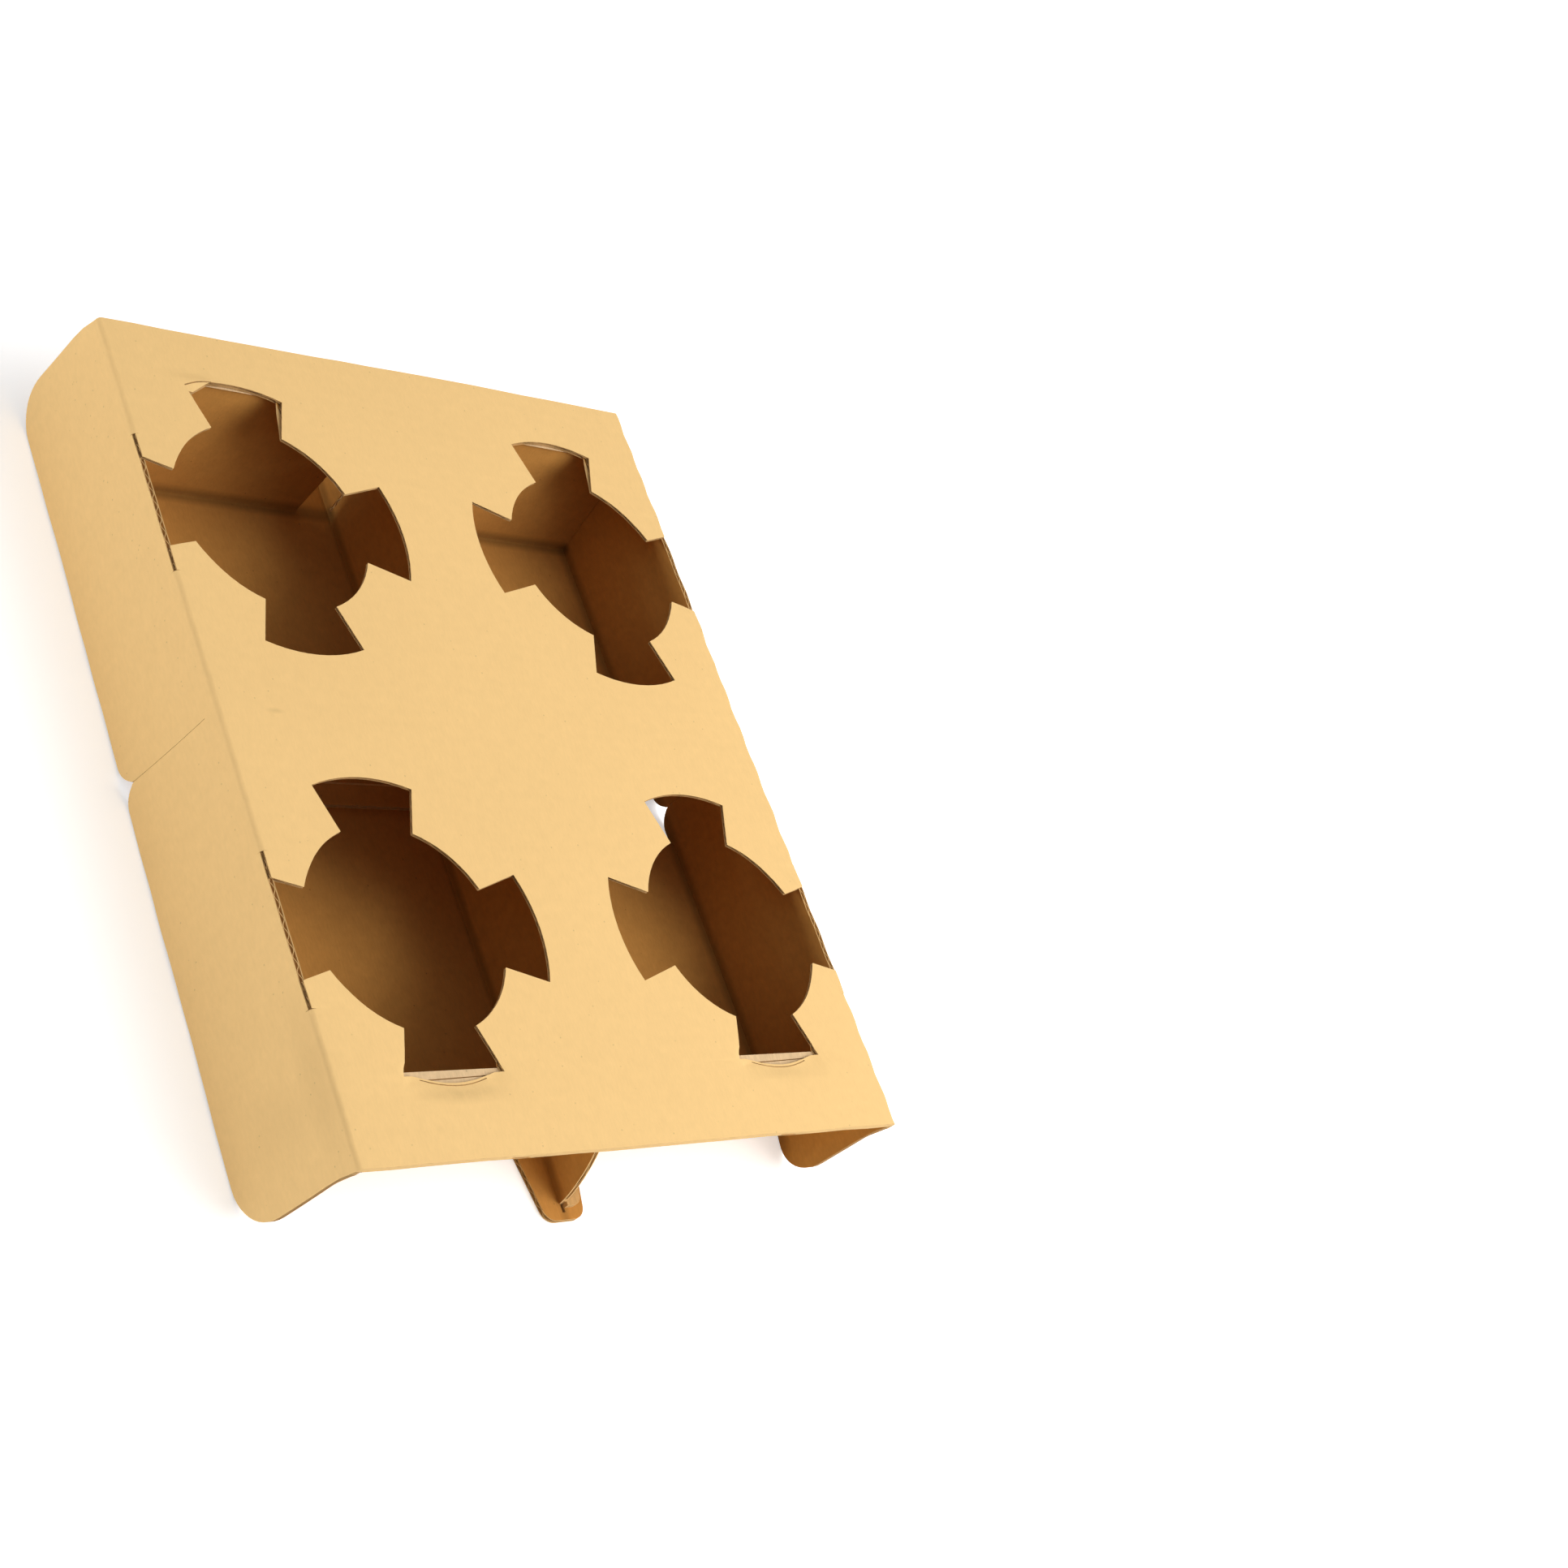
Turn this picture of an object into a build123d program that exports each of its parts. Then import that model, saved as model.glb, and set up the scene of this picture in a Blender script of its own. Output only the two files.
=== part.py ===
# Cardboard carrier for four cups, folded from one sheet of corrugated board.
# Millimetres. X across the carrier, Y along it, Z up. Origin at the middle of the underside.
import os
from math import sqrt

from build123d import *

# Board and overall size
panelWidth = 230.0
panelLength = 300.0
carrierHeight = 51.0
board = 2.0

# Ends: the top panel is turned back under itself, then runs down as a wall to the floor
hemDepth = 27.0
wallLean = 4.0
foldFillet = 0.8
hemFoldRadius = 1.92
sideFoldRadius = 1.6
sideClearance = 0.5

# Cup openings in the top panel
cupDiameter = 72.0
cupSpacingX = 140.0
cupSpacingY = 151.0
notchReach = 17.0
notchNeckWidth = 27.6
notchMouthWidth = 38.4
slitLength = 52.0
slitGap = 0.5

# Side flaps, each cut into two halves with rounded corners
flapCornerRadius = 15.0
cuspRadius = 8.0
flapSlitGap = 0.5
flapSlitMargin = 5.0

# Tongues of the floor, left standing out where the slots are cut from the end walls
slotFootWidth = 31.0
slotHeadWidth = 17.0
slotCornerRadius = 3.0
slotHeight = 35.0
tongueLength = 36.5
tongueClearance = 0.6
tongueCornerRadius = 5.0

# Centre divider, with a foot glued to the floor on one side
dividerHeadroom = 0.6
dividerOverhang = 31.0
dividerHeelRise = 11.0
dividerHeelSetback = 2.5
dividerBellyRise = 24.5
dividerBellySetback = 8.5
dividerToeLean = 0.1
footWidth = 30.0
footMargin = 1.6
footTipSetback = 4.0
reliefWidth = 1.2
reliefLength = 3.0

# Glued lap across the middle of the floor, with its ends cut back
lapWidth = 10.0
lapOffset = -4.0
seamCutDepth = 14.5
seamCutMouth = 30.0
seamCutRoot = 8.0

# Places worked out from the sizes above
topUnderside = carrierHeight - board
innerWidth = panelWidth - 2 * board - 2 * sideClearance
wallHeadY = panelLength / 2 - hemDepth
wallFootY = wallHeadY - wallLean
slotTopZ = board + slotHeight
dividerTopZ = slotTopZ - dividerHeadroom
dividerEndY = wallFootY + dividerOverhang
tongueTipY = wallFootY + tongueLength
notchRadius = cupDiameter / 2 + notchReach
cupCentres = [(sx * cupSpacingX / 2, sy * cupSpacingY / 2) for sx in (-1, 1) for sy in (-1, 1)]
ends = (-1, 1)
sides = (-1, 1)
cutMargin = 1.0


def prism(face, depth):
    return extrude(face, amount=depth / 2, both=True)


def sleeve():
    # The loop of top panel, hems, end walls and floor, as a section swept across the carrier
    half = panelLength / 2
    hemBottom = topUnderside - board
    footOut = wallFootY + board
    headOut = wallHeadY + board
    outline = [(-half, carrierHeight), (-half, hemBottom), (-headOut, hemBottom), (-footOut, 0)]
    outline += [(-y, z) for y, z in reversed(outline)]
    cavity = [(-wallHeadY, topUnderside), (-wallFootY, board), (wallFootY, board), (wallHeadY, topUnderside)]
    outer = make_face(Polyline(*outline, close=True))
    hemEnds = [v for v in outer.vertices() if abs(v.X) > half - foldFillet]
    outer = fillet(hemEnds, hemFoldRadius)
    creases = [v for v in outer.vertices() if abs(v.X) < headOut + foldFillet]
    outer = fillet(creases, foldFillet)
    inner = make_face(Polyline(*cavity, close=True))
    inner = fillet(inner.vertices(), foldFillet)
    return prism(Plane.YZ * (outer - inner), innerWidth)


def topPanel():
    return Pos(0, 0, topUnderside + board / 2) * Box(panelWidth, panelLength, board)


def sideFlap(side):
    # One flap hanging from a side fold, with a cusp and a closed slit at mid-length
    height = carrierHeight
    sheet = Pos(0, height / 2) * Rectangle(panelLength, height)
    corners = [v for v in sheet.vertices() if v.Y < height / 2]
    sheet = fillet(corners, flapCornerRadius)
    cusp = Pos(0, cuspRadius / 2) * Rectangle(2 * cuspRadius, cuspRadius)
    for end in ends:
        cusp -= Pos(end * cuspRadius, cuspRadius) * Circle(cuspRadius)
    slitTop = topUnderside - flapSlitMargin
    slitFoot = cuspRadius / 2
    slit = Pos(0, (slitTop + slitFoot) / 2) * Rectangle(flapSlitGap, slitTop - slitFoot)
    sheet = sheet - cusp - slit
    return Pos(side * (panelWidth - board) / 2, 0, 0) * prism(Plane.YZ * sheet, board)


def cupOpening():
    # A circle with four wing notches, which let the rim give as a cup goes in
    cupRadius = cupDiameter / 2
    opening = Circle(cupRadius)
    neck = notchNeckWidth / 2
    mouth = notchMouthWidth / 2
    neckX = sqrt(cupRadius**2 - neck**2)
    mouthX = sqrt(notchRadius**2 - mouth**2)
    flare = (mouth - neck) / (mouthX - neckX)
    start = neckX - cutMargin
    far = notchRadius + cutMargin
    near = neck + flare * (start - neckX)
    wide = neck + flare * (far - neckX)
    wedge = make_face(Polyline((start, -near), (far, -wide), (far, wide), (start, near), close=True))
    notch = Circle(notchRadius) & wedge
    for turn in (0, 90, 180, 270):
        opening += Rot(0, 0, turn) * notch
    cutter = extrude(opening, amount=board + cutMargin)
    return Pos(0, 0, topUnderside) * cutter


def foldSlit(side, centreY):
    # A slit along the side fold, longer than the notch that runs into it
    width = board + slitGap + cutMargin
    depth = board + slitGap + cutMargin
    x = side * (panelWidth / 2 + cutMargin - width / 2)
    z = carrierHeight + cutMargin - depth / 2
    return Pos(x, centreY, z) * Box(width, slitLength, depth)


def wallSlot(end):
    # A tapered slot up from the floor fold, with rounded upper corners
    foot = slotFootWidth / 2
    head = slotHeadWidth / 2
    face = make_face(
        Polyline((-foot, board), (-head, slotTopZ), (head, slotTopZ), (foot, board), close=True)
    )
    face = fillet([v for v in face.vertices() if v.Y > slotTopZ - cutMargin], slotCornerRadius)
    reach = board + wallLean + 2 * cutMargin
    centreY = end * (wallFootY + reach / 2 - cutMargin)
    return Pos(0, centreY, 0) * prism(Plane.XZ * face, reach)


def tongueFace(end, margin, tipSetback):
    # The slot's own shape, turned down flat in the plane of the floor
    foot = slotFootWidth / 2 - tongueClearance - margin
    head = slotHeadWidth / 2 - tongueClearance - margin
    root = end * (wallFootY - board)
    tip = end * (tongueTipY - tipSetback)
    face = make_face(Polyline((-foot, root), (-head, tip), (head, tip), (foot, root), close=True))
    return fillet([v for v in face.vertices() if abs(v.Y) > wallFootY], tongueCornerRadius - margin)


def tongue(end):
    return extrude(tongueFace(end, 0, 0), amount=board)


def divider():
    # A standing wall along the middle, its ends cut to an S that passes out through the slots
    endY = dividerEndY
    heel = (endY - dividerHeelSetback, board + dividerHeelRise)
    belly = (endY - dividerBellySetback, board + dividerBellyRise)
    shoulder = (wallFootY, dividerTopZ)
    edge = Spline((endY, board), heel, belly, shoulder, tangents=((-dividerToeLean, 1), (-1, 0)))
    mirrored = mirror(edge, about=Plane.YZ)
    lower = Line((-endY, board), (endY, board))
    upper = Line((-shoulder[0], shoulder[1]), shoulder)
    face = make_face([lower, edge, upper, mirrored])
    return prism(Plane.YZ * face, board)


def dividerFoot():
    # The turned foot of the divider, lying on the floor and out over each tongue
    strip = Pos(footWidth / 2, 0) * Rectangle(footWidth, 2 * wallFootY)
    for end in ends:
        strip += tongueFace(end, footMargin, footTipSetback)
    oneSide = Pos(panelWidth / 2, 0) * Rectangle(panelWidth, 2 * panelLength)
    return Pos(0, 0, board) * extrude(strip & oneSide, amount=board)


def reliefSlot(end):
    # A short slot in the fold where the divider stops
    centreY = end * (dividerEndY + reliefLength / 2)
    height = 2 * board + 2 * cutMargin
    return Pos(0, centreY, board) * Box(reliefWidth, reliefLength, height)


def floorLap():
    # The two halves of the floor overlap here, the upper one tapering out of sight
    near = lapOffset
    far = lapOffset + lapWidth
    section = make_face(
        Polyline((near, board), (near, 2 * board), (far - board, 2 * board), (far, board), close=True)
    )
    return prism(Plane.YZ * section, innerWidth)


def seamCut(side):
    # Where the floor's halves meet, their corners are cut back from the side flap
    middle = lapOffset + lapWidth / 2
    edge = innerWidth / 2
    mouth = seamCutMouth / 2
    root = seamCutRoot / 2
    corners = [(edge, -mouth), (edge - seamCutDepth, -root), (edge - seamCutDepth, root), (edge, mouth)]
    face = make_face(Polyline(*[(side * x, middle + y) for x, y in corners], close=True))
    return Pos(0, 0, -cutMargin) * extrude(face, amount=2 * board + 2 * cutMargin, dir=(0, 0, 1))


def cupCarrier():
    carrier = sleeve() + topPanel()
    for side in sides:
        carrier += sideFlap(side)
    folds = carrier.edges().filter_by(Axis.Y).filter_by_position(Axis.Z, topUnderside + board / 2, carrierHeight)
    folds = [e for e in folds if abs(e.center().X) > panelWidth / 2 - board / 2]
    carrier = fillet(folds, sideFoldRadius)
    opening = cupOpening()
    for x, y in cupCentres:
        carrier -= Pos(x, y, 0) * opening
        carrier -= foldSlit(1 if x > 0 else -1, y)
    for end in ends:
        carrier -= wallSlot(end)
    for end in ends:
        carrier += tongue(end)
    carrier += floorLap()
    for side in sides:
        carrier -= seamCut(side)
    carrier += dividerFoot()
    carrier += divider()
    for end in ends:
        carrier -= reliefSlot(end)
    return carrier


os.makedirs("parts", exist_ok=True)
part = cupCarrier()
export_step(part, "parts/cup_carrier.step")
print("solids", len(part.solids()), "volume mm3", round(part.volume))
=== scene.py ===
# Cardboard cup carrier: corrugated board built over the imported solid.
import math

import bmesh
import bpy
from mathutils import Matrix, Vector, noise


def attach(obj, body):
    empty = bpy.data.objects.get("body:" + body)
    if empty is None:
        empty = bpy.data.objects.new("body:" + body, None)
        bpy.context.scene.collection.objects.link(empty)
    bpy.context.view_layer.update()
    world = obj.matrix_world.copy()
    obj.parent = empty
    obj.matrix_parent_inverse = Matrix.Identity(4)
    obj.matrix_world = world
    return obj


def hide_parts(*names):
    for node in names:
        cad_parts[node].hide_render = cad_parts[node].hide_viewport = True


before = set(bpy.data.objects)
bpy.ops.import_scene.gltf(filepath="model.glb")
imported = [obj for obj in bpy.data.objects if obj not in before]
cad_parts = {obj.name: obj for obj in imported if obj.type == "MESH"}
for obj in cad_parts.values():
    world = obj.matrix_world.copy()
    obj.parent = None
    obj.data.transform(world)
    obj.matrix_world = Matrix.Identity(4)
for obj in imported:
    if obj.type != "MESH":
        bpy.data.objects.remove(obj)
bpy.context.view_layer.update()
mm = 0.001
axisX = Vector((1, 0, 0))
axisY = Vector((0, 1, 0))
axisZ = Vector((0, 0, 1))
print("frame loaded")

# Sizes of the folded board, in millimetres
carrier = {
    "halfWidth": 115.0,
    "halfLength": 150.0,
    "height": 51.0,
    "board": 2.0,
    "innerHalf": 112.5,
    "wallHead": 123.0,
    "wallFoot": 119.0,
    "cupY": 75.5,
    "slitLength": 52.0,
    "dividerTop": 36.4,
}

# Two liners with a fluted paper between them
flutes = {
    "liner": 0.34,
    "medium": 0.24,
    "pitch": 5.0,
    "stepsPerFlute": 10,
    "play": 0.02,
    "endGap": 0.3,
}

# Mesh work: weld and slice distances in millimetres, a shift off round numbers, degrees
mesher = {
    "weld": 0.002,
    "slice": 0.00001,
    "sliceShift": 0.013,
    "sharpAngle": 32,
}


def meshObject(name, bm):
    mesh = bpy.data.meshes.new(name)
    bm.to_mesh(mesh)
    bm.free()
    obj = bpy.data.objects.new(name, mesh)
    bpy.context.scene.collection.objects.link(obj)
    return obj


def cutWith(target, cutter, operation):
    # exact boolean, applied at once, then the cutter goes
    mod = target.modifiers.new("cut", "BOOLEAN")
    mod.object = cutter
    mod.operation = operation
    mod.solver = "EXACT"
    graph = bpy.context.evaluated_depsgraph_get()
    done = bpy.data.meshes.new_from_object(target.evaluated_get(graph))
    target.modifiers.clear()
    old = target.data
    target.data = done
    bpy.data.meshes.remove(old)
    bpy.data.objects.remove(cutter)


def solidCopy(name):
    bm = bmesh.new()
    bm.from_mesh(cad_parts["cup_carrier"].data)
    bmesh.ops.remove_doubles(bm, verts=bm.verts, dist=mesher["weld"] * mm)
    return meshObject(name, bm)


def panelBetween(low, high, along, across):
    # flutes run along "along" and wave over "across"
    low, high = Vector(low), Vector(high)
    span = high - low
    return {
        "centre": (low + high) / 2,
        "along": along,
        "across": across,
        "length": abs(span.dot(along)),
        "width": abs(span.dot(across)),
    }


def mirroredEnds(end, near, far):
    return sorted((end * near, end * far))


# Where the core of each panel starts and stops, in millimetres
cores = {
    "sidePast": 0.25,
    "foldPastX": 0.3,
    "foldShortY": 2.6,
    "floorShort": 1.6,
    "endPast": 152.0,
    "footSide": 1.4,
    "footEdge": 31.0,
    "footEnd": 118.6,
    "tipEdge": 14.2,
    "tipStart": 119.2,
    "lapNear": -5.0,
    "lapFar": 3.4,
    "lapRight": 31.4,
    "dividerFoot": 4.6,
    "dividerPast": 0.3,
    "hemStart": 126.4,
    "tongueHalf": 15.1,
    "tongueStart": 117.8,
    "tongueEnd": 157.0,
    "wallWidth": 42.6,
    "wallDrop": 0.4,
    "flapFoot": -1.0,
    "flapHead": 46.6,
    "slitFoot": 46.9,
    "slitHead": 49.6,
    "slitShort": 0.2,
}


def boardPanels():
    c = carrier
    k = cores
    b = c["board"]
    top = c["height"]
    out = c["innerHalf"] + k["sidePast"]
    foldX = c["innerHalf"] + k["foldPastX"]
    foldY = c["halfLength"] - k["foldShortY"]
    floorY = c["wallFoot"] - k["floorShort"]
    footSide = k["footSide"]
    past = k["endPast"]
    dividerTop = c["dividerTop"] + k["dividerPast"]
    panels = [
        panelBetween((-foldX, -foldY, top - b), (foldX, foldY, top), axisX, axisY),
        panelBetween((-out, -floorY, 0), (out, floorY, b), axisX, axisY),
        panelBetween((footSide, -k["footEnd"], b), (k["footEdge"], k["footEnd"], 2 * b), axisX, axisY),
        panelBetween((-out, k["lapNear"], b), (-footSide, k["lapFar"], 2 * b), axisX, axisY),
        panelBetween((k["lapRight"], k["lapNear"], b), (out, k["lapFar"], 2 * b), axisX, axisY),
        panelBetween((-b / 2, -past, k["dividerFoot"]), (b / 2, past, dividerTop), axisZ, axisY),
    ]
    for end in (-1, 1):
        # hem, tongue, the foot's tip over it, and wall
        near, far = mirroredEnds(end, k["hemStart"], foldY)
        panels.append(panelBetween((-out, near, top - 2 * b), (out, far, top - b), axisX, axisY))
        near, far = mirroredEnds(end, k["tongueStart"], k["tongueEnd"])
        panels.append(panelBetween((-k["tongueHalf"], near, 0), (k["tongueHalf"], far, b), axisX, axisY))
        near, far = mirroredEnds(end, k["tipStart"], past)
        panels.append(panelBetween((footSide, near, b), (k["tipEdge"], far, 2 * b), axisX, axisY))
        rise = Vector((0, end * (c["wallHead"] - c["wallFoot"]), top - 2 * b)).normalized()
        middle = Vector((0, end * ((c["wallHead"] + c["wallFoot"] + b) / 2), top / 2 - k["wallDrop"]))
        wall = {"centre": middle, "along": axisX, "across": rise}
        panels.append({**wall, "length": 2 * out, "width": k["wallWidth"]})
    for side in (-1, 1):
        # flap, and the strips of it that face the slits in the fold
        near, far = mirroredEnds(side, c["halfWidth"] - b, c["halfWidth"])
        panels.append(panelBetween((near, -past, k["flapFoot"]), (far, past, k["flapHead"]), axisZ, axisY))
        half = c["slitLength"] / 2 - k["slitShort"]
        for end in (-1, 1):
            low = (near, end * c["cupY"] - half, k["slitFoot"])
            high = (far, end * c["cupY"] + half, k["slitHead"])
            panels.append(panelBetween(low, high, axisZ, axisY))
    return panels


def panelPlace(panel):
    normal = panel["along"].cross(panel["across"])
    turn = Matrix((panel["along"], panel["across"], normal)).transposed().to_4x4()
    return Matrix.Translation(panel["centre"] * mm) @ turn


def coreSlab(panel):
    bm = bmesh.new()
    depth = carrier["board"] - 2 * flutes["liner"]
    size = Matrix.Diagonal((panel["length"] * mm, panel["width"] * mm, depth * mm, 1))
    bmesh.ops.create_cube(bm, size=1, matrix=panelPlace(panel) @ size)
    return meshObject("core", bm)


def fluteSheet(panel):
    bm = bmesh.new()
    depth = carrier["board"] - 2 * flutes["liner"]
    height = (depth - flutes["medium"]) / 2 - flutes["play"]
    waveSteps = max(2, round(panel["width"] / flutes["pitch"] * flutes["stepsPerFlute"]))
    bmesh.ops.create_grid(bm, x_segments=1, y_segments=waveSteps, size=0.5)
    for v in bm.verts:
        x = v.co.x * (panel["length"] - flutes["endGap"])
        y = v.co.y * (panel["width"] - flutes["endGap"])
        z = height * math.sin(2 * math.pi * y / flutes["pitch"]) - flutes["medium"] / 2
        v.co = Vector((x, y, z)) * mm
    bmesh.ops.recalc_face_normals(bm, faces=bm.faces)
    bmesh.ops.solidify(bm, geom=bm.faces[:], thickness=flutes["medium"] * mm)
    middle = sum(v.co.z for v in bm.verts) / len(bm.verts)
    bmesh.ops.translate(bm, verts=bm.verts, vec=(0, 0, -middle))
    bmesh.ops.transform(bm, matrix=panelPlace(panel), verts=bm.verts)
    bmesh.ops.recalc_face_normals(bm, faces=bm.faces)
    return meshObject("flute", bm)


# Cut dashes along the right fold
perforation = {
    "pitch": 16.0,
    "dash": 8.0,
    "width": 0.3,
    "depth": 4.6,
    "inset": 1.0,
    "uneven": 0.25,
    "runs": ((-146, -103), (-47, 47), (103, 146)),
}


def perforationDashes():
    p = perforation
    dashes = []
    corner = Vector((carrier["halfWidth"] - p["inset"], 0, carrier["height"] - p["inset"]))
    turn = Matrix.Rotation(-math.pi / 4, 4, "Y")
    for start, stop in p["runs"]:
        count = int((stop - start) // p["pitch"]) + 1
        margin = (stop - start - (count - 1) * p["pitch"]) / 2
        for i in range(count):
            length = p["dash"] * (1 + p["uneven"] * noise.noise((i * 1.7, start * 0.31, 1)))
            bm = bmesh.new()
            size = Matrix.Diagonal((p["depth"] * mm, length * mm, p["width"] * mm, 1))
            place = corner + axisY * (start + margin + i * p["pitch"])
            bmesh.ops.create_cube(bm, size=1, matrix=Matrix.Translation(place * mm) @ turn @ size)
            dashes.append(meshObject("dash", bm))
    return dashes


# Tears and pressed lines in the top, each an outline with its lowest and highest level
marks = {
    "ply": (((-78.0, 128.2), (-89.4, 125.4), (-88.9, 122.6), (-86.9, 122.3)), 49.0, 51.0),
    "lipLine": (((-14, -124.9), (13, -124.3), (14, -124.6), (-13.5, -125.3)), 47.9, 49.4),
    "nick": (((-6, -150.7), (-3, -149.2), (2, -149.5), (5, -150.7)), 48.7, 49.7),
    "lipCentres": (-70, 70),
    "nickCentres": (-53, 63),
    "tornArc": {"centre": (-70, 75.5), "radii": (52.7, 53.15), "angles": (99, 111.5)},
    "lipArc": {"radii": (53.5, 53.72), "angles": (255.5, 283)},
    "arcLevels": (50.4, 51.4),
    "arcSteps": 8,
}


def prismAt(outline, low, high, shift=0):
    bm = bmesh.new()
    base = [bm.verts.new(Vector((x + shift, y, low)) * mm) for x, y in outline]
    made = bmesh.ops.extrude_face_region(bm, geom=[bm.faces.new(base)])
    raised = [v for v in made["geom"] if isinstance(v, bmesh.types.BMVert)]
    bmesh.ops.translate(bm, verts=raised, vec=(0, 0, (high - low) * mm))
    bmesh.ops.recalc_face_normals(bm, faces=bm.faces)
    return meshObject("mark", bm)


def arcLine(centre, radii, angles):
    # a narrow curved cut through the upper liner
    count = marks["arcSteps"]
    turns = [math.radians(angles[0] + (angles[1] - angles[0]) * i / count) for i in range(count + 1)]
    inner, outer = (
        [(centre[0] + r * math.cos(t), centre[1] + r * math.sin(t)) for t in turns] for r in radii
    )
    return prismAt(inner + outer[::-1], *marks["arcLevels"])


panels = boardPanels()
shell = solidCopy("carrier_liners")
cutWith(shell, prismAt(*marks["ply"]), "UNION")
for panel in panels:
    cutWith(shell, coreSlab(panel), "DIFFERENCE")
for dash in perforationDashes():
    cutWith(shell, dash, "DIFFERENCE")
cutWith(shell, arcLine(**marks["tornArc"]), "DIFFERENCE")
for centre in marks["lipCentres"]:
    cutWith(shell, prismAt(*marks["lipLine"], centre), "DIFFERENCE")
    cutWith(shell, arcLine((centre, -carrier["cupY"]), **marks["lipArc"]), "DIFFERENCE")
for centre in marks["nickCentres"]:
    cutWith(shell, prismAt(*marks["nick"], centre), "DIFFERENCE")
print("liners cut,", len(shell.data.polygons), "faces")

fluteMesh = bmesh.new()
for panel in panels:
    sheet = fluteSheet(panel)
    cutWith(sheet, solidCopy("trim"), "INTERSECT")
    fluteMesh.from_mesh(sheet.data)
    bpy.data.objects.remove(sheet)
print("flutes trimmed,", len(fluteMesh.faces), "faces")

# Kraft paper, linear colours
paper = {
    "outer": {"colour": (0.95, 0.627, 0.262), "mottle": 0.022, "fleck": 0.22, "gloss": 0.22},
    "inner": {"colour": (0.57, 0.268, 0.064), "mottle": 0.06, "fleck": 0.4, "gloss": 0.05},
    "raw": {"colour": (0.68, 0.42, 0.17), "mottle": 0.1, "fleck": 0.4, "gloss": 0.1},
    "pressed": {"colour": (0.80, 0.56, 0.31), "mottle": 0.1, "fleck": 0.3, "gloss": 0.1},
}

# What all the papers share: texture scales, ranges and relief
grain = {
    "roughness": 0.86,
    "cloudScale": 16.0,
    "pulpScale": 230.0,
    "pulpRoughness": 0.62,
    "fibreScale": 1500.0,
    "fibreStretch": (1.0, 0.22, 0.6),
    "fleckScale": 330.0,
    "fleckSize": (0.04, 0.13),
    "fleckShare": (0.84, 0.86),
    "spotShadeFull": 0.6,
    "fibreShare": 0.35,
    "reliefStrength": 0.35,
    "reliefDepth": 0.12,
}

# Darker places on the outer paper: centre and reach in millimetres, how dark, how even. The three on the
# top are rubbed places; the two on the left flap's near end are painted shade, darker along the fold
scuffsAndFlapShade = (
    ((-69, -130.5, 51), (19, 4, 3), 0.15, 0.3),
    ((70, -130, 51), (14, 3, 3), 0.08, 0.3),
    ((-94, 0, 51), (4, 1.3, 3), 0.12, 0.3),
    # painted shade on the left flap's near end, along the fold
    ((-117, -127, 27), (6, 14, 18), 0.05, 0.3),
    ((-116, -122, 45), (5, 34, 9), 0.09, 0.5),
)

# Painted shade along the scored folds of the inner paper: the paper is darkened where shadow falls in the
# folds; centre and reach in millimetres, how dark, how even
paintedFoldShade = (
    ((0, 119, 2.5), (500, 4, 4), 0.38, 0.8),
    ((0, -119, 2.5), (500, 4, 4), 0.38, 0.8),
    ((112.5, 0, 2), (4.5, 900, 4), 0.3, 0.8),
    ((-112.5, 0, 2), (4.5, 900, 4), 0.3, 0.8),
    ((0, 0, 3.5), (3, 900, 3), 0.35, 0.8),
)


def node(tree, kind, **sockets):
    made = tree.nodes.new(kind)
    for name, value in sockets.items():
        made.inputs[name].default_value = value
    return made


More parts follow.
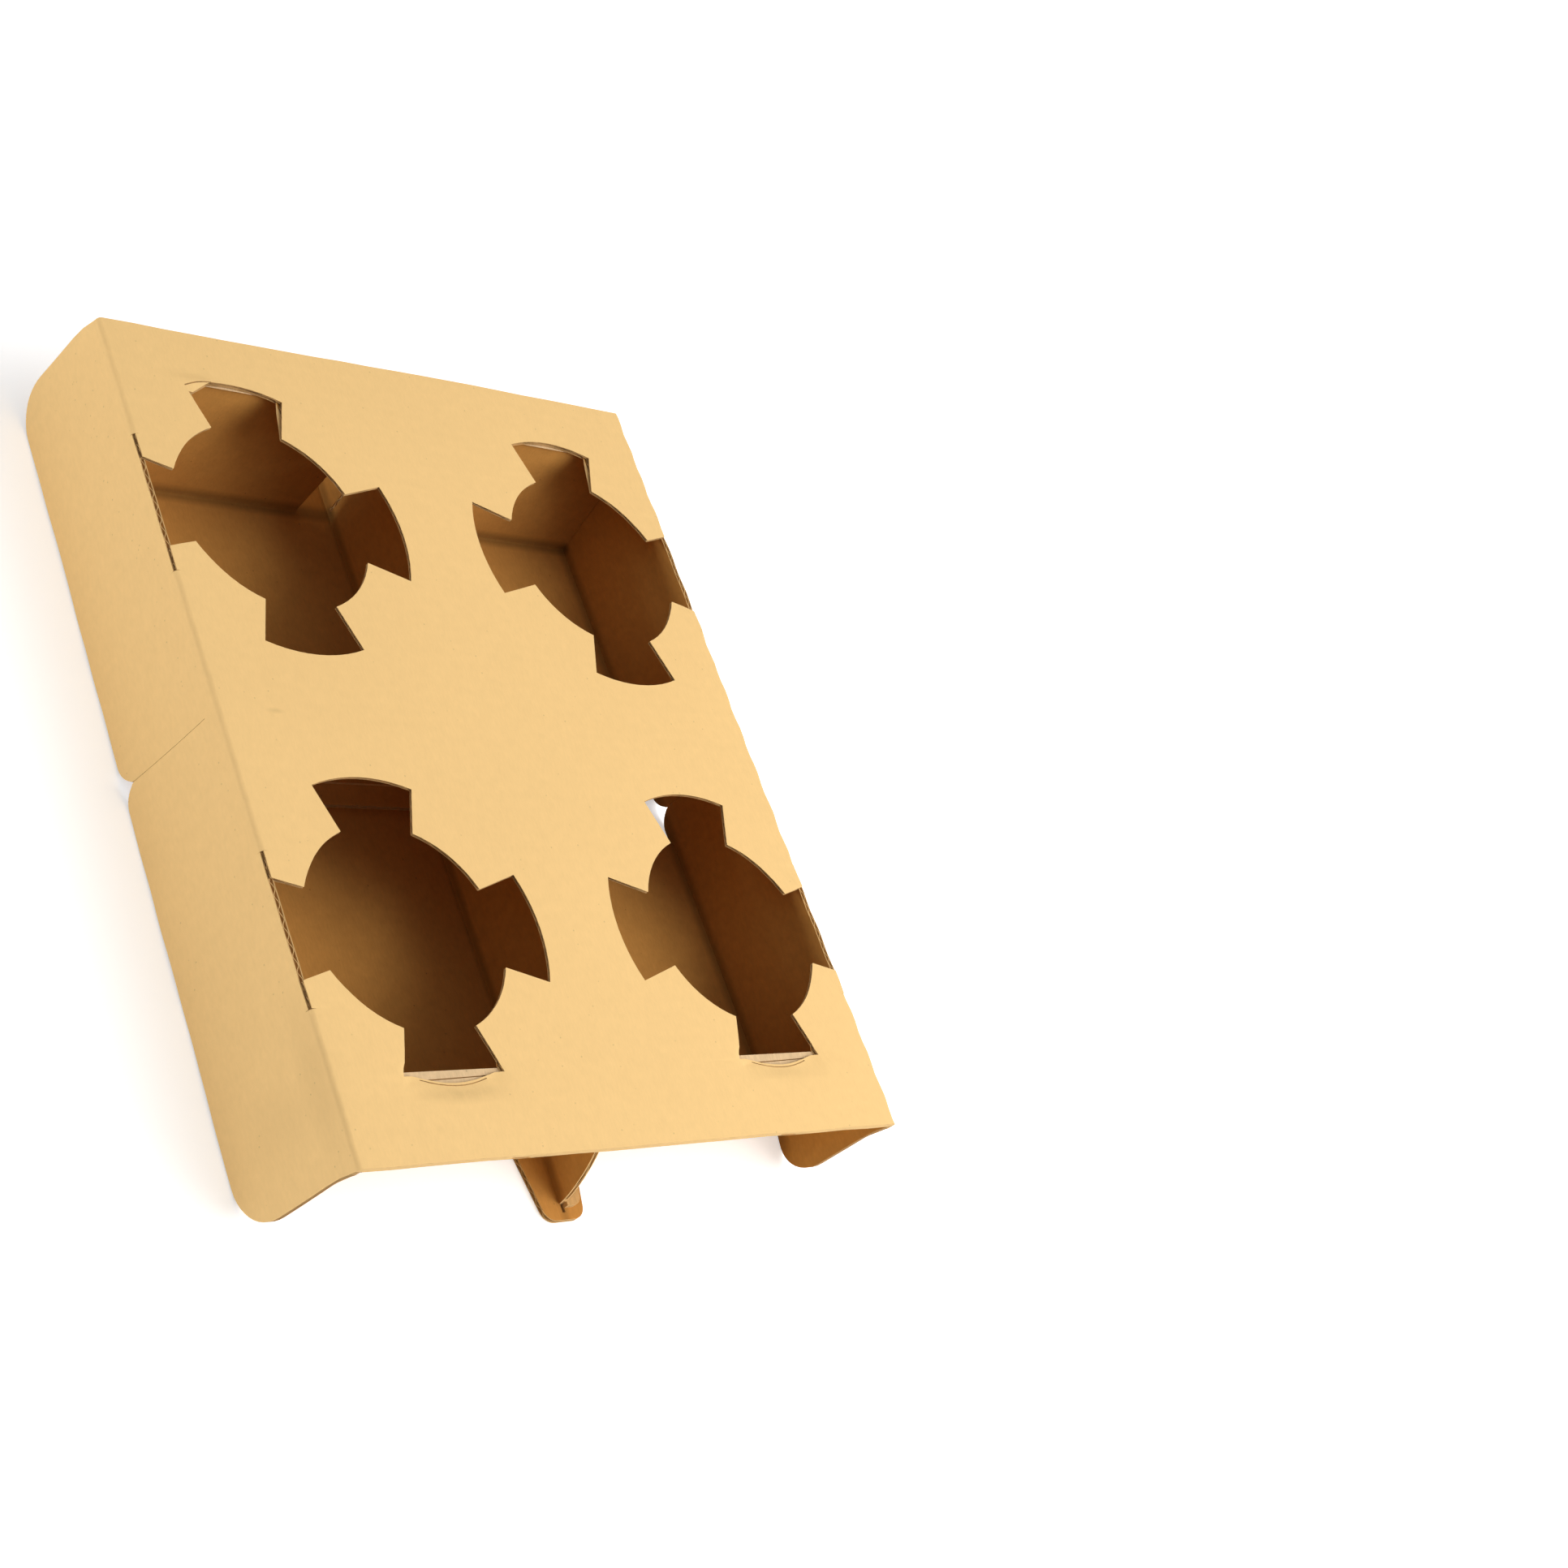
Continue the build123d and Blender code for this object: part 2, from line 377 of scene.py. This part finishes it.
def kraftPaper(name, spec, spotsAndShade=()):
    mat = bpy.data.materials.new(name)
    mat.use_nodes = True
    tree = mat.node_tree
    link = tree.links.new
    shader = tree.nodes["Principled BSDF"]
    g = grain
    shader.inputs["Roughness"].default_value = g["roughness"]
    shader.inputs["Specular IOR Level"].default_value = spec["gloss"]
    place = tree.nodes.new("ShaderNodeTexCoord")
    cloud = node(tree, "ShaderNodeTexNoise", Scale=g["cloudScale"], Detail=3.0)
    pulp = node(tree, "ShaderNodeTexNoise", Scale=g["pulpScale"], Detail=7.0, Roughness=g["pulpRoughness"])
    stretch = node(tree, "ShaderNodeMapping", Scale=g["fibreStretch"])
    fibre = node(tree, "ShaderNodeTexNoise", Scale=g["fibreScale"], Detail=4.0)
    fleck = node(tree, "ShaderNodeTexVoronoi", Scale=g["fleckScale"])
    for tex in (cloud, pulp, fleck, stretch):
        link(place.outputs["Object"], tex.inputs["Vector"])
    link(stretch.outputs["Vector"], fibre.inputs["Vector"])

    def ranged(source, low, high, fromLow=0.3, fromHigh=0.7):
        made = node(tree, "ShaderNodeMapRange")
        for index, value in enumerate((fromLow, fromHigh, low, high)):
            made.inputs[index + 1].default_value = value
        link(source, made.inputs["Value"])
        return made.outputs["Result"]

    def product(a, b):
        made = node(tree, "ShaderNodeMath")
        made.operation = "MULTIPLY"
        link(a, made.inputs[0])
        link(b, made.inputs[1])
        return made.outputs[0]

    m = spec["mottle"]
    clouds = ranged(cloud.outputs["Fac"], 1 - m * 0.6, 1 + m * 0.4)
    tone = product(clouds, ranged(pulp.outputs["Fac"], 1 - m, 1 + m * 0.7))
    tone = product(tone, ranged(fibre.outputs["Fac"], 1 - m, 1 + m * 0.6))
    dots = ranged(fleck.outputs["Distance"], 1 - spec["fleck"], 1.0, *g["fleckSize"])
    chosen = node(tree, "ShaderNodeSeparateColor")
    link(fleck.outputs["Color"], chosen.inputs["Color"])
    rare = ranged(chosen.outputs["Red"], 0.0, 1.0, *g["fleckShare"])
    keep = node(tree, "ShaderNodeMix")
    keep.inputs["A"].default_value = 1.0
    link(rare, keep.inputs["Factor"])
    link(dots, keep.inputs["B"])
    tone = product(tone, keep.outputs["Result"])
    # darkens the paper round each centre given, for rubbed spots and for painted shade
    for centre, reach, dark, even in spotsAndShade:
        spot, spread = ([v * mm for v in values] for values in (centre, reach))
        near = node(tree, "ShaderNodeMapping", Location=spot, Scale=spread)
        near.vector_type = "TEXTURE"
        ball = tree.nodes.new("ShaderNodeTexGradient")
        ball.gradient_type = "SPHERICAL"
        link(place.outputs["Object"], near.inputs["Vector"])
        link(near.outputs["Vector"], ball.inputs["Vector"])
        spotShade = product(ball.outputs["Fac"], ranged(pulp.outputs["Fac"], even, 1.0))
        tone = product(tone, ranged(spotShade, 1.0, 1 - dark, 0.0, g["spotShadeFull"]))
    tint = node(tree, "ShaderNodeMix")
    tint.data_type = "RGBA"
    tint.blend_type = "MULTIPLY"
    tint.inputs["Factor"].default_value = 1.0
    tint.inputs[6].default_value = (*spec["colour"], 1)
    link(tone, tint.inputs[7])
    link(tint.outputs[2], shader.inputs["Base Color"])
    ridge = node(tree, "ShaderNodeTexWave", Scale=math.pi / (10 * flutes["pitch"] * mm))
    ridge.bands_direction = "Y"
    link(place.outputs["Object"], ridge.inputs["Vector"])
    relief = node(tree, "ShaderNodeMix")
    relief.inputs["Factor"].default_value = g["fibreShare"]
    link(ridge.outputs["Fac"], relief.inputs["A"])
    link(fibre.outputs["Fac"], relief.inputs["B"])
    bump = node(tree, "ShaderNodeBump", Strength=g["reliefStrength"], Distance=g["reliefDepth"] * mm)
    link(relief.outputs["Result"], bump.inputs["Height"])
    link(bump.outputs["Normal"], shader.inputs["Normal"])
    return mat


# the outer paper gets the rubbed spots on the top and the painted shade on the left flap
outerKraft = kraftPaper("outer_kraft", paper["outer"], scuffsAndFlapShade)
# the inner paper is darkened along its folds: painted shade
innerKraft = kraftPaper("inner_kraft", paper["inner"], paintedFoldShade)
rawKraft = kraftPaper("cut_kraft", paper["raw"])
pressedKraft = kraftPaper("pressed_kraft", paper["pressed"])


# Levels and places that tell the papers apart, on the flat board in millimetres
skins = {
    "foldOut": 114.2,
    "flapFrom": 112.9,
    "flapInner": 113.1,
    "flapHead": 49.0,
    "topFrom": 48.9,
    "topLower": 49.1,
    "topLedge": 49.2,
    "topUpper": 50.7,
    "endFold": 147.6,
    "hemFrom": 46.5,
    "hemStart": 124.5,
    "hemLower": 47.4,
    "floorTop": 2.1,
    "floorUnder": 0.15,
    "floorUpper": 1.9,
    "floorFold": 119.5,
    "dividerFrom": 1.1,
    "dividerFace": 0.95,
    "footTop": 4.1,
    "footFace": 3.9,
    "footEnd": 117.0,
    "wallFrom": 116.0,
    "wallRise": 47.0,
    "wallFace": 0.75,
}
outerSide, innerSide, cutSide, plySide = range(4)


def topPaper(y, z, ny, nz):
    s = skins
    if y > s["endFold"] and ny > 0.2:
        return outerSide
    if nz > 0.5 and z < s["topLedge"]:
        return plySide
    if nz > 0.3 and z > s["topUpper"]:
        return outerSide
    return innerSide if nz < -0.5 and z < s["topLower"] else cutSide


def floorPaper(y, z, nz):
    s = skins
    if nz < 0 and (z < s["floorUnder"] or y > s["floorFold"]):
        return outerSide
    return innerSide if nz > 0 and z > s["floorUpper"] else cutSide


def wallPaper(y, z, ny):
    s = skins
    b = carrier["board"]
    lean = (carrier["wallHead"] - carrier["wallFoot"]) * (z - b) / s["wallRise"]
    off = y - (carrier["wallFoot"] + lean + b / 2)
    if off > s["wallFace"] and ny > 0.2:
        return outerSide
    return innerSide if off < -s["wallFace"] and ny < 0.1 else cutSide


def paperOf(c, n):
    # outer liner, inner liner, cut edge or core, or the bare ply under a notch
    s = skins
    x, y, z = abs(c.x), abs(c.y), c.z
    nx = n.x * math.copysign(1, c.x)
    ny = n.y * math.copysign(1, c.y)
    if x > s["foldOut"] and nx > 0.35:
        return outerSide
    if x > s["flapFrom"] and z < s["flapHead"]:
        return innerSide if nx < -0.5 and x < s["flapInner"] else cutSide
    if z > s["topFrom"]:
        return topPaper(y, z, ny, n.z)
    if z > s["hemFrom"] and y > s["hemStart"]:
        shown = (n.z < -0.3 and z < s["hemLower"]) or (y > s["endFold"] and ny > 0.2)
        return outerSide if shown else cutSide
    if z < s["floorTop"] and abs(n.z) > 0.5:
        return floorPaper(y, z, n.z)
    if x < s["dividerFrom"] and abs(n.x) > 0.7:
        return innerSide if x > s["dividerFace"] else cutSide
    if z < s["footTop"] and n.z > 0.5 and y < s["footEnd"]:
        return innerSide if z > s["footFace"] else cutSide
    return wallPaper(y, z, ny) if y > s["wallFrom"] else cutSide


def inside(point, low, high):
    return all(a <= value <= b for a, value, b in zip(low, point, high))


def sliced(bm, axis, places, zone=None):
    for place in places:
        faces = bm.faces[:]
        if zone:
            low, high = (Vector(corner) * mm for corner in zone)
            faces = [f for f in faces if inside(f.calc_center_median(), low, high)]
        edges = dict.fromkeys(e for f in faces for e in f.edges)
        verts = dict.fromkeys(v for f in faces for v in f.verts)
        parts = [*verts, *edges, *faces]
        gap = mesher["slice"] * mm
        bmesh.ops.bisect_plane(bm, geom=parts, dist=gap, plane_co=axis * place * mm, plane_no=axis)


def steps(low, high, step):
    count = int(round((high - low) / step))
    return [low + step * i + step * mesher["sliceShift"] for i in range(1, count)]


def ease(a, b, value):
    t = min(1, max(0, (value - a) / (b - a)))
    return t * t * (3 - 2 * t)


# How the board has moved from its folded shape, in millimetres
wear = {
    "leftSplayFar": 1.2,
    "leftSplayNear": 6.0,
    "rightLeanNear": 3.4,
    "rightTuck": 0.42,
    "leftFoldWave": 0.12,
    "rightFoldWave": 0.45,
    "foldWavePitch": 16.0,
    "edgeWave": 0.7,
    "topBow": 0.5,
    "nearEdgeOut": 1.5,
    "farLeftIn": 2.5,
    "farHeadOut": 5.5,
    "slitClose": 1.7,
    "slitRise": 1.5,
    "lipIn": 2.2,
    "lipSink": 1.0,
    "tornLift": 0.9,
    "cutCrush": 0.42,
    "crushReach": 2.5,
    "flapSlitClose": 0.74,
    "lipCrease": 0.28,
    "splayPower": 1.6,
    "flapRipple": 0.5,
    "endRipple": 0.35,
}

# Where each kind of wear comes in, from none to full, in millimetres
zones = {
    "flapX": 112.8,
    "topX": 112.7,
    "slitEnd": 0.05,
    "slitLevel": 48.8,
    "slitReach": (98, 112),
    "slitHeight": (34, 48),
    "flapSlitHead": 46,
    "flapSlitReach": (3, 0.3),
    "flapSlitFoot": (3.9, 5.5),
    "plyLevel": 48.9,
    "plyRise": (49.2, 50.5),
    "ledgeRise": (49.05, 49.3),
    "lipFrom": -115,
    "lipSpread": (22, 15),
    "lipReach": (-119, -124),
    "lipBack": 127,
    "lipFade": 3.2,
    "creaseReach": (-125, -128),
    "creaseFade": 5,
    "cutEnd": 121,
    "cutSide": 112,
    "tornFrom": 115,
    "tornCentre": (-84, 126.5),
    "tornSpread": (60, 8),
    "endOverhang": (126, 150),
    "endEdge": (140, 150),
    "endHeight": (40, 47),
    "edgeHang": (8, 0),
    "farLeft": (60, -115),
    "topHeight": (44, 49),
    "foldFadeX": 3,
    "foldFadeZ": 5,
    "wallFrom": 100,
    "wallTop": 49.05,
    "wallRise": (2, 47),
    "wallSide": 1.2,
    "wallNear": (108, 119),
    "wallPast": (150, 128),
}

# A cup opening, for the distance from its edge
opening = {
    "centreX": 70,
    "cupRadius": 36,
    "notchRadius": 53,
    "neckHalf": 13.8,
    "neckAt": 33.25,
    "flare": 0.3344,
    "flareCosine": 0.948,
}


def closedSlits(x, y, z, side):
    # the slits in the side folds and the flaps have sprung nearly shut
    w = wear
    a = zones
    d = Vector((0, 0, 0))
    off = abs(abs(y) - carrier["cupY"])
    if off < carrier["slitLength"] / 2 - a["slitEnd"]:
        if z > a["slitLevel"] and abs(x) < a["topX"]:
            d.x += side * w["slitClose"] * ease(*a["slitReach"], abs(x))
        elif abs(x) > a["flapX"] and z < a["slitLevel"]:
            d.z += w["slitRise"] * ease(*a["slitHeight"], z)
    if abs(x) > a["flapX"] and z < a["flapSlitHead"] and abs(y) < a["flapSlitReach"][0]:
        d.y -= w["flapSlitClose"] * y * ease(*a["flapSlitReach"], abs(y)) * ease(*a["flapSlitFoot"], z)
    return d


def openingGap(x, y):
    # how far a point of the top lies outside the nearest cup opening
    o = opening
    dx = abs(abs(x) - o["centreX"])
    dy = abs(abs(y) - carrier["cupY"])
    r = math.hypot(dx, dy)
    notchHalf = o["neckHalf"] + o["flare"] * (max(dx, dy) - o["neckAt"])
    notchSide = (min(dx, dy) - notchHalf) * o["flareCosine"]
    return min(r - o["cupRadius"], max(r - o["notchRadius"], notchSide))


def crushedLips(x, y, z, side):
    w = wear
    a = zones
    d = Vector((0, 0, 0))
    if z <= a["plyLevel"]:
        return d
    upper = ease(*a["plyRise"], z)
    if y < a["lipFrom"]:
        # the near edge of the near openings is pressed down onto the ply below it
        spread = ease(*a["lipSpread"], abs(abs(x) - opening["centreX"]))
        back = max(0, -y - a["lipBack"])
        press = spread * ease(*a["lipReach"], y) * math.exp(-((back / a["lipFade"]) ** 2))
        d.y += w["lipIn"] * press * ease(*a["ledgeRise"], z)
        d.z -= w["lipSink"] * press * upper
        crease = spread * math.exp(-back / a["creaseFade"]) * ease(*a["creaseReach"], y)
        d.z += w["lipCrease"] * crease * noise.noise((x * 0.11, y * 0.75, 4.4 + side)) * upper
    if abs(y) < a["cutEnd"] and abs(x) < a["cutSide"]:
        # die cutting has squeezed the board at the cut edge
        d.z += w["cutCrush"] * (carrier["height"] - z) * ease(w["crushReach"], 0, openingGap(x, y))
    if y > a["tornFrom"] and side < 0:
        # the torn ply stands up a little
        (tornX, tornY), (spreadX, spreadY) = a["tornCentre"], a["tornSpread"]
        reach = (x - tornX) ** 2 / spreadX + (y - tornY) ** 2 / spreadY
        d.z += w["tornLift"] * math.exp(-reach) * upper
    return d


def hungFlap(y, z, side):
    w = wear
    d = Vector((0, 0, 0))
    drop = min(1, max(0, (carrier["height"] - z) / carrier["height"]))
    nearness = 0.5 - y / (2 * carrier["halfLength"])
    if side < 0:
        splay = w["leftSplayFar"] + (w["leftSplayNear"] - w["leftSplayFar"]) * nearness
        d.x -= splay * drop ** w["splayPower"]
    else:
        d.x -= w["rightTuck"] * drop
        d.x -= w["rightLeanNear"] * drop * ease(*zones["endOverhang"], -y)
    hang = ease(*zones["edgeHang"], z)
    d.z += w["edgeWave"] * hang * (0.5 + 0.5 * noise.noise((y * 0.06, side * 3.1, 0.4)))
    d.x += side * w["flapRipple"] * drop * noise.noise((y * 0.03, z * 0.02, side * 7.7))
    return d


def worn(p):
    # p is a point of the flat folded board in millimetres
    w = wear
    a = zones
    x, y, z = p
    side = 1 if x > 0 else -1
    d = hungFlap(y, z, side) if abs(x) > a["flapX"] else Vector((0, 0, 0))
    fold = math.exp(-max(0, carrier["halfWidth"] - abs(x)) / a["foldFadeX"])
    fold *= math.exp(-max(0, carrier["height"] - z) / a["foldFadeZ"])
    ripple = math.sin(2 * math.pi * y / w["foldWavePitch"] + 2 * noise.noise((y * 0.02, side, 1.3)))
    wave = w["rightFoldWave"] if side > 0 else w["leftFoldWave"]
    d.x += side * wave * fold * ripple
    d.z += wave * 0.5 * fold * noise.noise((y * 0.09, side * 2.0, 5.1))
    d += closedSlits(x, y, z, side) + crushedLips(x, y, z, side)
    if y > a["wallFrom"] and abs(x) > a["wallSide"] and z < a["wallTop"]:
        # the far wall's head stands further out under the top
        foot, rise = a["wallRise"]
        height = min(1, max(0, (z - foot) / rise))
        d.y += w["farHeadOut"] * height * ease(*a["wallNear"], y) * ease(*a["wallPast"], y)
    d.z += w["topBow"] * ease(*a["topHeight"], z) * noise.noise((x * 0.012, y * 0.012, 2.2)) * (1 - fold)
    upper = ease(*a["endHeight"], z)
    d.y -= w["nearEdgeOut"] * ease(*a["endOverhang"], -y) * upper
    d.y -= w["farLeftIn"] * ease(*a["endOverhang"], y) * ease(*a["farLeft"], x) * upper
    d.y += w["endRipple"] * ease(*a["endEdge"], abs(y)) * upper * noise.noise((x * 0.07, y, 3.3))
    return p + d


def wearOut(bm):
    for v in bm.verts:
        v.co = worn(v.co / mm) * mm


def finishPiece(name, bm, materials):
    # edges stay sharp where the board turns or one paper meets another
    bm.normal_update()
    for face in bm.faces:
        face.smooth = True
    for edge in bm.edges:
        onePaper = len({face.material_index for face in edge.link_faces}) == 1
        edge.smooth = onePaper and edge.calc_face_angle(0) < math.radians(mesher["sharpAngle"])
    obj = meshObject(name, bm)
    for mat in materials:
        obj.data.materials.append(mat)
    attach(obj, "root")
    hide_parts("cup_carrier")
    return obj


# Where the meshes are sliced so that they can bend: from, to, step
slices = {
    "linerX": (-114, 114, 12),
    "linerY": (-152, 152, 4),
    "linerZ": (0, 48, 6),
    "fluteX": (-114, 114, 24),
    "fluteZ": (0, 48, 12),
    "slitShort": 0.15,
    "lipX": (46, 94),
    "lipStepX": 3,
    "lipY": (-138, -120, 1),
    "lipZone": (-138, -118),
    "tornX": (-96, -70, 2),
    "tornY": (118, 134, 1),
    "topZone": (48, 52),
}

linerMesh = bmesh.new()
linerMesh.from_mesh(shell.data)
bpy.data.objects.remove(shell)
sliced(linerMesh, axisY, steps(*slices["linerY"]))
sliced(linerMesh, axisX, steps(*slices["linerX"]))
sliced(linerMesh, axisZ, steps(*slices["linerZ"]))
slitEnd = carrier["slitLength"] / 2 - slices["slitShort"]
sliced(linerMesh, axisY, [a * carrier["cupY"] + b * slitEnd for a in (-1, 1) for b in (-1, 1)])
under, over = slices["topZone"]
for side in (-1, 1):
    left, right = sorted(side * x for x in slices["lipX"])
    near, far = slices["lipZone"]
    nearLip = ((left, near, under), (right, far, over))
    sliced(linerMesh, axisX, steps(left, right, slices["lipStepX"]), nearLip)
    sliced(linerMesh, axisY, steps(*slices["lipY"]), nearLip)
(left, right, _), (near, far, _) = slices["tornX"], slices["tornY"]
tornCorner = ((left, near, under), (right, far, over))
sliced(linerMesh, axisX, steps(*slices["tornX"]), tornCorner)
sliced(linerMesh, axisY, steps(*slices["tornY"]), tornCorner)
linerMesh.normal_update()
for face in linerMesh.faces:
    face.material_index = paperOf(face.calc_center_median() / mm, face.normal)
wearOut(linerMesh)
liners = finishPiece("carrier_liners", linerMesh, (outerKraft, innerKraft, rawKraft, pressedKraft))

sliced(fluteMesh, axisX, steps(*slices["fluteX"]))
sliced(fluteMesh, axisZ, steps(*slices["fluteZ"]))
wearOut(fluteMesh)
for face in fluteMesh.faces:
    face.material_index = 0
medium = finishPiece("carrier_flutes", fluteMesh, (rawKraft,))
print("board worn,", len(liners.data.polygons), "+", len(medium.data.polygons), "faces")

# Camera, as in the photograph
shot = {
    "place": (-0.55809, -0.36413, 0.59414),
    "right": (0.68496, -0.34262, 0.64300),
    "up": (-0.04035, 0.86334, 0.50301),
    "lens": 58.844,
    "sensor": 36,
    "clipStart": 0.01,
}
camData = bpy.data.cameras.new("photoCamera")
camData.sensor_width = shot["sensor"]
camData.lens = shot["lens"]
camData.clip_start = shot["clipStart"]
cam = bpy.data.objects.new("photoCamera", camData)
right = Vector(shot["right"]).normalized()
up = Vector(shot["up"]).normalized()
turn = Matrix((right, up, right.cross(up))).transposed().to_4x4()
cam.matrix_world = Matrix.Translation(shot["place"]) @ turn
bpy.context.scene.collection.objects.link(cam)
bpy.context.scene.camera = cam

# Floor and light
studio = {
    "floorHalf": 4.0,
    "floor": (0.9, 0.9, 0.9),
    "floorDrop": 0.2,
    "floorRoughness": 0.9,
    "floorLift": 0.48,
    "floorFade": (0.3, 1.0),
    "skyLow": 0.1,
    "skyHigh": 0.44,
    "lamps": {
        "softKey": {"place": (0.8, -0.6, 1.15), "size": 1.4, "height": 1.4, "power": 23.4},
        "leftFill": {"place": (-1.2, 0.4, 0.1), "size": 0.6, "height": 0.15, "power": 5.2},
    },
}


def seenDirectly(tree):
    # 1 for rays that show the background itself
    rays = tree.nodes.new("ShaderNodeLightPath")
    total = rays.outputs["Is Camera Ray"]
    for name in ("Is Glossy Ray", "Is Transmission Ray"):
        added = tree.nodes.new("ShaderNodeMath")
        added.operation = "ADD"
        added.use_clamp = True
        tree.links.new(total, added.inputs[0])
        tree.links.new(rays.outputs[name], added.inputs[1])
        total = added.outputs[0]
    return total


floorMesh = bmesh.new()
bmesh.ops.create_grid(floorMesh, x_segments=1, y_segments=1, size=studio["floorHalf"])
bmesh.ops.translate(floorMesh, verts=floorMesh.verts, vec=(0, 0, -studio["floorDrop"] * mm))
floor = meshObject("studio_floor", floorMesh)
floorMat = bpy.data.materials.new("studio_white")
floorMat.use_nodes = True
floorTree = floorMat.node_tree
floorShader = floorTree.nodes["Principled BSDF"]
floorShader.inputs["Base Color"].default_value = (*studio["floor"], 1)
floorShader.inputs["Roughness"].default_value = studio["floorRoughness"]
floorShader.inputs["Emission Color"].default_value = (1, 1, 1, 1)
floorPlace = floorTree.nodes.new("ShaderNodeTexCoord")
away = floorTree.nodes.new("ShaderNodeVectorMath")
away.operation = "LENGTH"
fade = node(floorTree, "ShaderNodeMapRange")
fade.inputs["From Min"].default_value, fade.inputs["From Max"].default_value = studio["floorFade"]
fade.inputs["To Min"].default_value = studio["floorLift"]
lift = floorTree.nodes.new("ShaderNodeMath")
lift.operation = "MULTIPLY"
floorTree.links.new(floorPlace.outputs["Object"], away.inputs[0])
floorTree.links.new(away.outputs["Value"], fade.inputs["Value"])
floorTree.links.new(fade.outputs["Result"], lift.inputs[1])
floorTree.links.new(seenDirectly(floorTree), lift.inputs[0])
floorTree.links.new(lift.outputs[0], floorShader.inputs["Emission Strength"])
floor.data.materials.append(floorMat)

world = bpy.data.worlds.new("studio")
bpy.context.scene.world = world
world.use_nodes = True
skyTree = world.node_tree
sky = skyTree.nodes["Background"]
sky.inputs["Color"].default_value = (1, 1, 1, 1)
heading = skyTree.nodes.new("ShaderNodeTexCoord")
rise = skyTree.nodes.new("ShaderNodeSeparateXYZ")
glow = node(skyTree, "ShaderNodeMapRange")
glow.inputs["To Min"].default_value = studio["skyLow"]
glow.inputs["To Max"].default_value = studio["skyHigh"]
skyTree.links.new(heading.outputs["Generated"], rise.inputs[0])
skyTree.links.new(rise.outputs["Z"], glow.inputs["Value"])
skyTree.links.new(glow.outputs["Result"], sky.inputs["Strength"])
backdrop = node(skyTree, "ShaderNodeBackground", Color=(1, 1, 1, 1), Strength=1.0)
choose = skyTree.nodes.new("ShaderNodeMixShader")
skyTree.links.new(seenDirectly(skyTree), choose.inputs[0])
skyTree.links.new(sky.outputs[0], choose.inputs[1])
skyTree.links.new(backdrop.outputs[0], choose.inputs[2])
skyTree.links.new(choose.outputs[0], skyTree.nodes["World Output"].inputs["Surface"])

for name, spec in studio["lamps"].items():
    lampData = bpy.data.lights.new(name, "AREA")
    lampData.shape = "RECTANGLE"
    lampData.size = spec["size"]
    lampData.size_y = spec["height"]
    lampData.energy = spec["power"]
    lamp = bpy.data.objects.new(name, lampData)
    lamp.location = spec["place"]
    lamp.rotation_mode = "QUATERNION"
    lamp.rotation_quaternion = (-Vector(spec["place"])).to_track_quat("-Z", "Y")
    lamp.visible_camera = False
    bpy.context.scene.collection.objects.link(lamp)
bpy.context.scene.view_settings.view_transform = "Standard"
print("studio ready")
